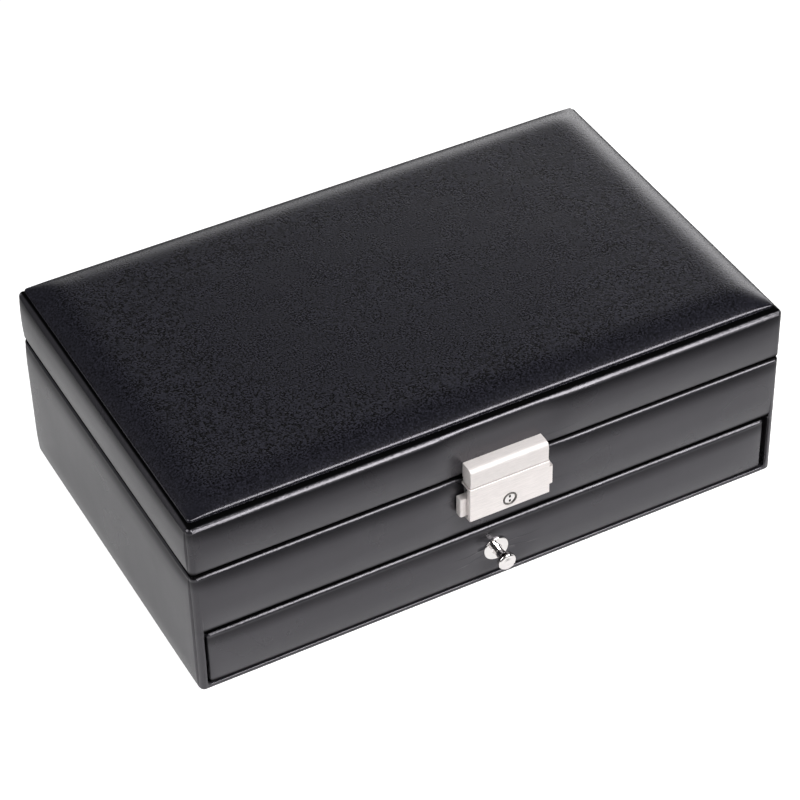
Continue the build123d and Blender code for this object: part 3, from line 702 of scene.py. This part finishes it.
def shaped_copy(node, shape_of, levels):
    """A copy of a leather node, cut into small faces and shaped over its padding."""
    low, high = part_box(node)
    shape = bmesh.new()
    shape.from_mesh(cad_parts[node].data)
    bmesh.ops.remove_doubles(shape, verts=shape.verts, dist=0.002 * MM)
    cuts = ((LONG_CUT, (low.x, high.x)), (LONG_CUT, (low.y, high.y)), (TALL_CUT, levels))
    for axis, (step, edges) in enumerate(cuts):
        direction = Vector([float(axis == index) for index in range(3)])
        for place in cuts_between(low[axis], high[axis], step, edges):
            geometry = shape.verts[:] + shape.edges[:] + shape.faces[:]
            bmesh.ops.bisect_plane(shape, geom=geometry, dist=0.005 * MM, plane_co=direction * place,
                                   plane_no=direction)
    shape.normal_update()
    places = [shape_of(vertex.co.copy(), vertex.normal) for vertex in shape.verts]
    for vertex, place in zip(shape.verts, places):
        vertex.co = place
    mesh = bpy.data.meshes.new(node)
    shape.to_mesh(mesh)
    shape.free()
    return mesh


# Padded panel of the lid

def pad_height(x, y, settings):
    """Height of the padded panel above its edge."""
    across = (x - (pad_low.x + pad_high.x) / 2) / ((pad_high.x - pad_low.x) / 2)
    along = (y - (pad_low.y + pad_high.y) / 2) / ((pad_high.y - pad_low.y) / 2)
    margins = (x - pad_low.x, pad_high.x - x, y - pad_low.y, pad_high.y - y)
    rise = 1.0
    for margin in margins:
        share = min(max(margin, 0.0) / settings.edge_reach, 1.0)
        rise *= 1 - (1 - share) ** PAD_FULLNESS
    turn = min(max(min(margins), 0.0) / PAD_TURN_R, 1.0)
    turned_edge = PAD_TURN_R * (math.sqrt(1 - (1 - turn) ** 2) - 1)
    return settings.edge_rise * rise + turned_edge + settings.crown * (1 - across ** 2) * (1 - along ** 2)


def within_pad(point, inset):
    """The place of a point on the panel's outline, drawn in by a distance."""
    return (min(max(point[0], pad_low.x + inset), pad_high.x - inset),
            min(max(point[1], pad_low.y + inset), pad_high.y - inset))


def pad_mesh(settings):
    """The panel as a closed form: crowned top, upright edge, tucked foot and a recess for its card."""
    edge_z = pad_low.z + PAD_EDGE_H
    xs = spaced(pad_low.x, pad_high.x, PAD_STEPS, PAD_STEP)
    ys = spaced(pad_low.y, pad_high.y, PAD_STEPS, PAD_STEP)
    columns = len(xs)
    rows = len(ys)
    points = [(x, y, edge_z + pad_height(x, y, settings)) for y in ys for x in xs]
    faces = grid_faces(columns, rows)
    border = border_of(columns, rows)
    above = border
    # Rows down the edge and under the foot: inset and height above the foot, in millimetres
    profile = [(-0.05, 0.75), (0.0, 0.4), (0.15, 0.12), (0.4, 0.04), (0.8, 0.03), (0.98, 0.03), (0.98, 1.02)]
    for inset, rise in profile:
        start = len(points)
        inset *= MM
        for index in border:
            x, y = within_pad(points[index], inset)
            if inset < 0 and index % columns in (0, columns - 1):
                x *= 1 - inset / pad_high.x
            if inset < 0 and index // columns in (0, rows - 1):
                y *= 1 - inset / pad_high.y
            points.append((x, y, pad_low.z + rise * MM))
        below = list(range(start, start + len(border)))
        for place in range(len(border)):
            after = (place + 1) % len(border)
            faces.append((above[place], below[place], below[after], above[after]))
        above = below
    inset, rise = profile[-1]
    floor_z = pad_low.z + rise * MM
    place_of = dict(zip(border, above))
    for index in range(columns * rows):
        if index not in place_of:
            place_of[index] = len(points)
            points.append((*within_pad(points[index], inset * MM), floor_z))
    faces += [tuple(place_of[index] for index in face[::-1]) for face in grid_faces(columns, rows)]
    mesh = bpy.data.meshes.new("lid_pad")
    mesh.from_pydata(points, [], faces)
    mesh.update()
    free = set(range(columns * rows)) - set(border)
    return mesh, [index for index in range(len(points)) if index not in free]


def soften_corners(mesh):
    """Draw the panel's upright corners in, so that they come out rounded."""
    for vertex in mesh.vertices:
        reach_x = min(vertex.co.x - pad_low.x, pad_high.x - vertex.co.x)
        reach_y = min(vertex.co.y - pad_low.y, pad_high.y - vertex.co.y)
        reach = math.hypot(max(reach_x, 0.0), max(reach_y, 0.0))
        if reach < PAD_CORNER_R:
            pull = PAD_CORNER_PULL * (1 - reach / PAD_CORNER_R)
            vertex.co.x -= math.copysign(pull, vertex.co.x)
            vertex.co.y -= math.copysign(pull, vertex.co.y - (pad_low.y + pad_high.y) / 2)


# Ring rolls

def roll_profile(half, height):
    """Cross-section of a roll: a flat foot, full sides and a round top, as offsets across and up."""
    foot = [(-0.90, 0.0), (-0.45, 0.0), (0.0, 0.0), (0.45, 0.0), (0.90, 0.0)]
    side = [(0.975, 0.05), (1.0, 0.16), (1.0, 0.30), (1.0, 0.44)]
    arc = []
    for index in range(1, 12):
        angle = math.pi * index / 12
        arc.append((math.cos(angle), 0.46 + 0.54 * math.sin(angle)))
    points = foot + side + arc + [(-across, up) for across, up in side[::-1]]
    return [(across * half, up * height) for across, up in points]


def roll_mesh(low, high, fullness):
    """A closed roll along X whose ends are gathered in."""
    half = (high.y - low.y) / 2 - fullness
    height = high.z - low.z - fullness
    profile = roll_profile(half, height)
    shares = (0.66, 0.82, 0.92, 0.97, 0.995, 1.0)
    foot_points = 5
    stations = list(spaced(low.x, high.x, ROLL_ENDS, ROLL_STEP))
    middle_y = (low.y + high.y) / 2
    points = []
    for x in stations:
        margin = min(x - low.x, high.x - x)
        share = float(np.interp(margin, ROLL_ENDS, shares))
        for across, up in profile:
            points.append((x, middle_y + across * share, low.z + up * (0.35 + 0.65 * share)))
    count = len(profile)
    faces = []
    for ring in range(len(stations) - 1):
        for place in range(count):
            after = (place + 1) % count
            first = ring * count
            faces.append((first + place, first + after, first + count + after, first + count + place))
    held = []
    for ring in (0, len(stations) - 1):
        centre = len(points)
        points.append((stations[ring], middle_y, low.z + 0.42 * height))
        for place in range(count):
            after = (place + 1) % count
            corners = (ring * count + place, ring * count + after, centre)
            faces.append(corners[::-1] if ring == 0 else corners)
        held += [centre, *range(ring * count, ring * count + count)]
    held += [ring * count + place for ring in range(len(stations)) for place in range(foot_points)]
    mesh = bpy.data.meshes.new("ring_roll")
    mesh.from_pydata(points, [], faces)
    mesh.update()
    return mesh, sorted(set(held))


# Button springs

def coil_mesh(low, high):
    """A round wire wound along X between two corners."""
    centre = (low + high) / 2
    radius = (high.z - low.z) / 2 - WIRE_R
    curve = bpy.data.curves.new("coil", "CURVE")
    curve.dimensions = "3D"
    curve.bevel_depth = WIRE_R
    curve.bevel_resolution = 3
    curve.use_fill_caps = True
    spline = curve.splines.new("NURBS")
    count = COIL_TURNS * COIL_STEPS + 1
    spline.points.add(count - 1)
    for index in range(count):
        share = index / (count - 1)
        angle = math.tau * COIL_TURNS * share
        x = low.x + WIRE_R + (high.x - low.x - 2 * WIRE_R) * share
        y = centre.y + radius * math.sin(angle)
        z = centre.z + radius * math.cos(angle)
        spline.points[index].co = (x, y, z, 1.0)
    spline.order_u = 3
    spline.use_endpoint_u = True
    holder = placed("coil", curve)
    mesh = finished_mesh(holder)
    bpy.data.objects.remove(holder)
    return mesh


# Hinge rivets

class Recipe(Finish):
    """A geometry node tree under construction, with named inputs."""

    def __init__(self, name, sizes):
        self.tree = bpy.data.node_groups.new(name, "GeometryNodeTree")
        self.tree.interface.new_socket("Geometry", in_out="INPUT", socket_type="NodeSocketGeometry")
        for size in sizes:
            self.tree.interface.new_socket(size, in_out="INPUT", socket_type="NodeSocketFloat")
        self.tree.interface.new_socket("Geometry", in_out="OUTPUT", socket_type="NodeSocketGeometry")
        self.given = self.tree.nodes.new("NodeGroupInput")

    def size(self, name):
        return Signal(self, self.given.outputs[name])

    def joined(self, *parts):
        """Several geometries as one."""
        join = self.tree.nodes.new("GeometryNodeJoinGeometry")
        for part in parts:
            self.tree.links.new(part.socket, join.inputs[0])
        return Signal(self, join.outputs[0])

    def result(self, geometry, material):
        """End the tree with plain geometry that carries its material."""
        plain = self.node("GeometryNodeRealizeInstances", None, [geometry])
        dressed = self.node("GeometryNodeSetMaterial", None, {"Geometry": plain, "Material": material})
        self.node("NodeGroupOutput", None, [dressed])
        return self.tree


def rivet_recipe(material):
    """A domed rivet with its shank at every point of a mesh."""
    recipe = Recipe("rivets", ("Head radius", "Head height", "Shank radius", "Shank length"))
    radius = recipe.size("Head radius")
    ball = recipe.node("GeometryNodeMeshUVSphere", None, {"Segments": 24, "Rings": 16, "Radius": radius})
    place = recipe.node("GeometryNodeInputPosition")
    across = recipe.along(place, 0)
    along = recipe.along(place, 1)
    rise = (recipe.along(place, 2) / radius).at_least(0.0) ** 0.8 * recipe.size("Head height")
    domed = recipe.node("ShaderNodeCombineXYZ", None, [across, along, rise])
    head = recipe.node("GeometryNodeSetPosition", None, {"Geometry": ball, "Position": domed})
    length = recipe.size("Shank length")
    shank = recipe.node("GeometryNodeMeshCylinder", None,
                        {"Vertices": 16, "Radius": recipe.size("Shank radius"), "Depth": length})
    down = recipe.node("ShaderNodeCombineXYZ", None, [0.0, 0.0, length * -0.5])
    shank = recipe.node("GeometryNodeTransform", None, {"Geometry": shank, "Translation": down})
    places = Signal(recipe, recipe.given.outputs["Geometry"])
    spread = recipe.node("GeometryNodeInstanceOnPoints", None,
                         {"Points": places, "Instance": recipe.joined(head, shank),
                          "Rotation": (-math.pi / 2, 0.0, 0.0)})
    return recipe.result(spread, material)


def rivet_mesh(name, level, material):
    """The four rivets of one row, as a plain mesh."""
    leaf_middle = (leaf_low.x + leaf_high.x) / 2
    face_y = case_high.y + LEAF_T
    points = [(hinge_x + offset, face_y, level) for hinge_x in (leaf_middle, -leaf_middle)
              for offset in (-RIVET_OFFSET, RIVET_OFFSET)]
    mesh = bpy.data.meshes.new(name)
    mesh.from_pydata(points, [], [])
    holder = placed(name, mesh)
    modifier = holder.modifiers.new("rivets", "NODES")
    modifier.node_group = rivet_recipe(material)
    sizes = {**RIVET_SIZES, "Shank length": face_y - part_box("back_wall")[0].y}
    for item in modifier.node_group.interface.items_tree:
        if item.name in sizes:
            modifier[item.identifier] = sizes[item.name]
    holder.update_tag()
    finished = finished_mesh(holder)
    bpy.data.objects.remove(holder)
    return finished


# Operators

class RINGBOX_OT_leather(bpy.types.Operator):
    """Dress the case, the lid and the drawer's front in smooth black leather"""
    bl_idname = "ring_box.leather"
    bl_label = "Leather"

    def execute(self, context):
        settings = context.scene.ring_box.leather
        wraps = (("case_leather", "case", case_shape, (OPENING_Z, case_high.z)),
                 ("lid_leather", "lid", lid_shape, (lid_low.z, lid_high.z)),
                 ("drawer_front_leather", "drawer", drawer_shape, (drawer_low.z, drawer_high.z)))
        for node, body, shape_of, levels in wraps:
            name = f"{body}_wrap"
            mesh = shaped_copy(node, shape_of, levels)
            wrap = mesh_object(name, mesh, leather_finish(name, settings, levels))
            mesh.set_sharp_from_angle(angle=math.radians(35))
            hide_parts(node)
            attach(wrap, body)
        return {"FINISHED"}


class RINGBOX_OT_pad(bpy.types.Operator):
    """Make the padded panel on the lid, with its leather swollen by a cloth simulation"""
    bl_idname = "ring_box.pad"
    bl_label = "Padded panel"

    def execute(self, context):
        settings = context.scene.ring_box
        mesh, held = pad_mesh(settings.pad)
        pad = mesh_object("padded_panel", mesh, pad_finish(settings.leather))
        inflate(pad, settings.pad.swell, held)
        soften_corners(pad.data)
        finished = subdivided(pad, 2)
        pad.modifiers.clear()
        pad.data = finished
        shade_smooth(finished)
        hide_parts("lid_pad")
        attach(pad, "lid")
        return {"FINISHED"}


class RINGBOX_OT_rolls(bpy.types.Operator):
    """Make the soft rolls that grip the rings, one simulated and the others like it"""
    bl_idname = "ring_box.rolls"
    bl_label = "Ring rolls"

    def execute(self, context):
        material = velvet_finish("roll_velvet")
        low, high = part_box(ROLL_NODES[0])
        mesh, held = roll_mesh(low, high, ROLL_SWELL)
        first = mesh_object("soft_roll", mesh, material)
        inflate(first, ROLL_SWELL, held)
        soft = subdivided(first, 1)
        bpy.data.objects.remove(first)
        for index, node in enumerate(ROLL_NODES):
            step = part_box(node)[0] - low
            copy = soft.copy()
            copy.transform(Matrix.Translation(step))
            roll = mesh_object(f"soft_roll_{index + 1}", copy, material)
            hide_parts(node)
            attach(roll, "case")
        return {"FINISHED"}


class RINGBOX_OT_linings(bpy.types.Operator):
    """Line the compartments with velvet, and finish the boards and the felt underneath"""
    bl_idname = "ring_box.linings"
    bl_label = "Linings, boards and felt"

    def execute(self, context):
        dress(VELVET_NODES, velvet_finish("black_velvet"))
        dress(BOARD_NODES, board_finish())
        dress(("underside_felt",), felt_finish())
        return {"FINISHED"}


class RINGBOX_OT_metal(bpy.types.Operator):
    """Plate the lock, the hasp, the knob and the hinges"""
    bl_idname = "ring_box.metal"
    bl_label = "Nickel fittings"

    def execute(self, context):
        settings = context.scene.ring_box.metal
        lacquered = brushed_finish("satin_nickel", settings.satin, roughness=0.50, streak=0.30 * MM,
                                   metallic=0.58)
        # Painted shade: the hasp gets a copy of the lock's satin nickel at 0.85 of its colour, and less
        # metallic
        shaded_satin = brushed_finish("hasp_nickel", shade(settings.satin, 0.85), roughness=0.50, streak=0.30 * MM,
                              metallic=0.25)
        dress(SATIN_NODES, lacquered)
        dress(("hasp_cover",), shaded_satin)
        # The key's sleeve is coloured nearly black, as dark as the ring round the key plug looks
        dress(("cylinder_sleeve",), brushed_finish("dark_nickel", DARK_NICKEL, 0.40, 0.2 * MM))
        dress(POLISHED_NODES, polished_finish("polished_nickel", settings.polished))
        dress(STEEL_NODES, brushed_finish("zinc_plate", STEEL, 0.35, 0.3 * MM))
        dress(HINGE_NODES, brushed_finish("hinge_nickel", HINGE_NICKEL, 0.26, 0.25 * MM))
        return {"FINISHED"}


class RINGBOX_OT_springs(bpy.types.Operator):
    """Wind the coil springs behind the buttons, which shorten as the buttons go in"""
    bl_idname = "ring_box.springs"
    bl_label = "Button springs"

    def execute(self, context):
        material = brushed_finish("spring_wire", STEEL, 0.32, 0.1 * MM)
        for side in ("left", "right"):
            node = f"{side}_button_spring"
            low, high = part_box(node)
            spring = mesh_object(f"{side}_coil_spring", coil_mesh(low, high), material)
            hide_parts(node)
            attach(spring, "case")
            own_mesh(spring)
        return {"FINISHED"}


class RINGBOX_OT_rivets(bpy.types.Operator):
    """Set the domed rivets of the two hinges"""
    bl_idname = "ring_box.rivets"
    bl_label = "Hinge rivets"

    def execute(self, context):
        material = polished_finish("rivet_nickel", RIVET_NICKEL)
        lid_leaf_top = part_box("left_hinge_lid_leaf")[1].z
        for body, node, level in (("case", "case_hinge_rivets", leaf_low.z + RIVET_MARGIN),
                                  ("lid", "lid_hinge_rivets", lid_leaf_top - RIVET_MARGIN)):
            mesh = rivet_mesh(f"{body}_rivet_places", level, material)
            rivets = mesh_object(f"{body}_rivet_heads", mesh, material)
            mesh.set_sharp_from_angle(angle=math.radians(40))
            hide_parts(node)
            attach(rivets, body)
        return {"FINISHED"}


class RINGBOX_OT_stage(bpy.types.Operator):
    """Set up the floor, the soft studio light and the camera"""
    bl_idname = "ring_box.stage"
    bl_label = "Studio"

    def execute(self, context):
        settings = context.scene.ring_box.studio
        make_floor()
        make_world(context.scene)
        soft_light("key_softbox", (0.346, -0.653, 0.673), (0.8, 0.50), settings.key)
        soft_light("side_softbox", (-0.80, 0.05, 0.60), (0.9, 0.9), settings.side)
        make_camera(context.scene, settings)
        context.scene.view_settings.view_transform = "Standard"
        return {"FINISHED"}


# Studio

def make_floor():
    """A wide floor that shows white to the camera, keeps the box's shadow and has a painted pool of light
    round the box.
    """
    mesh = bpy.data.meshes.new("floor")
    corners = [(x * FLOOR_HALF, y * FLOOR_HALF, 0) for x, y in ((-1, -1), (1, -1), (1, 1), (-1, 1))]
    mesh.from_pydata(corners, [], [(0, 1, 2, 3)])
    finish = new_finish("floor_paper")
    seen = finish.node("ShaderNodeLightPath")
    glossy = finish.node("ShaderNodeLightPath", output=3)
    through = finish.node("ShaderNodeLightPath", output=6)
    place = finish.position()
    beside = (abs(finish.along(place, 0)) - case_high.x).at_least(0.0)
    ahead = (abs(finish.along(place, 1)) - case_high.y).at_least(0.0)
    away = (beside ** 2 + ahead ** 2) ** 0.5
    # Painted pool of light: the floor is pale near the box, dark further away, and glows a little in
    # reflections near it
    light_pool = away.eased(0.0, LIGHT_POOL_REACH, 1.0, 0.0)
    tone = finish.tint(light_pool, (0.05, 0.05, 0.05, 1.0), (0.86, 0.86, 0.86, 1.0))
    glow = (glossy + through).at_most(1.0) * light_pool * 0.10 + seen * (1.0 - light_pool * 0.45)
    diffuse = finish.node("ShaderNodeBsdfDiffuse", None, {"Color": tone})
    glow = finish.node("ShaderNodeEmission", None, {"Color": WHITE, "Strength": glow})
    both = finish.node("ShaderNodeAddShader", None, [diffuse, glow])
    finish.node("ShaderNodeOutputMaterial", None, [both])
    floor = mesh_object("floor", mesh, finish.owner, smooth=False)


def make_world(scene):
    """A white backdrop behind the box, low on the horizon, and a dim room elsewhere."""
    world = bpy.data.worlds.new("studio")
    scene.world = world
    finish = Finish(world)
    direction = finish.node("ShaderNodeTexCoord")
    height = finish.along(direction, 2)
    towards = finish.node("ShaderNodeVectorMath", {"operation": "DOT_PRODUCT"}, [direction, BACKDROP_WAY],
                          output=1)
    backdrop = height.eased(0.20, 0.60, 1.0, 0.0) * towards.eased(0.60, 0.97)
    seen = finish.node("ShaderNodeLightPath")
    strength = (backdrop * BACKDROP_LIGHT + ROOM_LIGHT).at_least(seen)
    background = finish.node("ShaderNodeBackground", None, {"Color": WHITE, "Strength": strength})
    finish.node("ShaderNodeOutputWorld", None, [background])


def soft_light(name, direction, size, power):
    """A rectangular soft light that faces the box."""
    lamp = bpy.data.lights.new(name, "AREA")
    lamp.shape = "RECTANGLE"
    lamp.size, lamp.size_y = size
    lamp.energy = power
    light = placed(name, lamp)
    away = Vector(direction).normalized()
    light.location = STUDIO_TARGET + away * LIGHT_DISTANCE
    light.rotation_euler = away.to_track_quat("Z", "Y").to_euler()


def make_camera(scene, settings):
    """The camera at the photograph's viewing angle."""
    data = bpy.data.cameras.new("camera")
    data.lens = settings.lens
    data.sensor_width = 36.0
    data.clip_start = 0.05
    data.clip_end = 50.0
    camera = placed("camera", data)
    flat = math.cos(settings.elevation)
    back = Vector((math.sin(settings.azimuth) * flat, -math.cos(settings.azimuth) * flat,
                   math.sin(settings.elevation)))
    right = back.cross(Vector((0, 0, -1))).normalized()
    up = back.cross(right)
    turned_right = right * math.cos(settings.roll) + up * math.sin(settings.roll)
    turned_up = up * math.cos(settings.roll) - right * math.sin(settings.roll)
    turn = Matrix((turned_right, turned_up, back)).transposed()
    camera.location = STUDIO_TARGET + back * settings.distance
    camera.rotation_euler = turn.to_euler()
    scene.camera = camera


class RINGBOX_PT_panel(bpy.types.Panel):
    """The steps that dress the ring box"""
    bl_idname = "RINGBOX_PT_panel"
    bl_label = "Ring box"
    bl_space_type = "VIEW_3D"
    bl_region_type = "UI"
    bl_category = "Ring box"

    def draw(self, context):
        for operator in OPERATORS:
            self.layout.operator(operator.bl_idname)


SETTINGS = (LeatherSettings, PadSettings, MetalSettings, StudioSettings, RingBoxSettings)
OPERATORS = (RINGBOX_OT_leather, RINGBOX_OT_pad, RINGBOX_OT_rolls, RINGBOX_OT_linings, RINGBOX_OT_metal,
             RINGBOX_OT_springs, RINGBOX_OT_rivets, RINGBOX_OT_stage)


def register():
    for part in (*SETTINGS, *OPERATORS, RINGBOX_PT_panel):
        bpy.utils.register_class(part)
    bpy.types.Scene.ring_box = bpy.props.PointerProperty(type=RingBoxSettings)


def unregister():
    del bpy.types.Scene.ring_box
    for part in (RINGBOX_PT_panel, *reversed(OPERATORS), *reversed(SETTINGS)):
        bpy.utils.unregister_class(part)


def main():
    register()
    bpy.ops.ring_box.leather()
    bpy.ops.ring_box.pad()
    bpy.ops.ring_box.rolls()
    bpy.ops.ring_box.linings()
    bpy.ops.ring_box.metal()
    bpy.ops.ring_box.springs()
    bpy.ops.ring_box.rivets()
    bpy.ops.ring_box.stage()


if __name__ == "__main__":
    main()
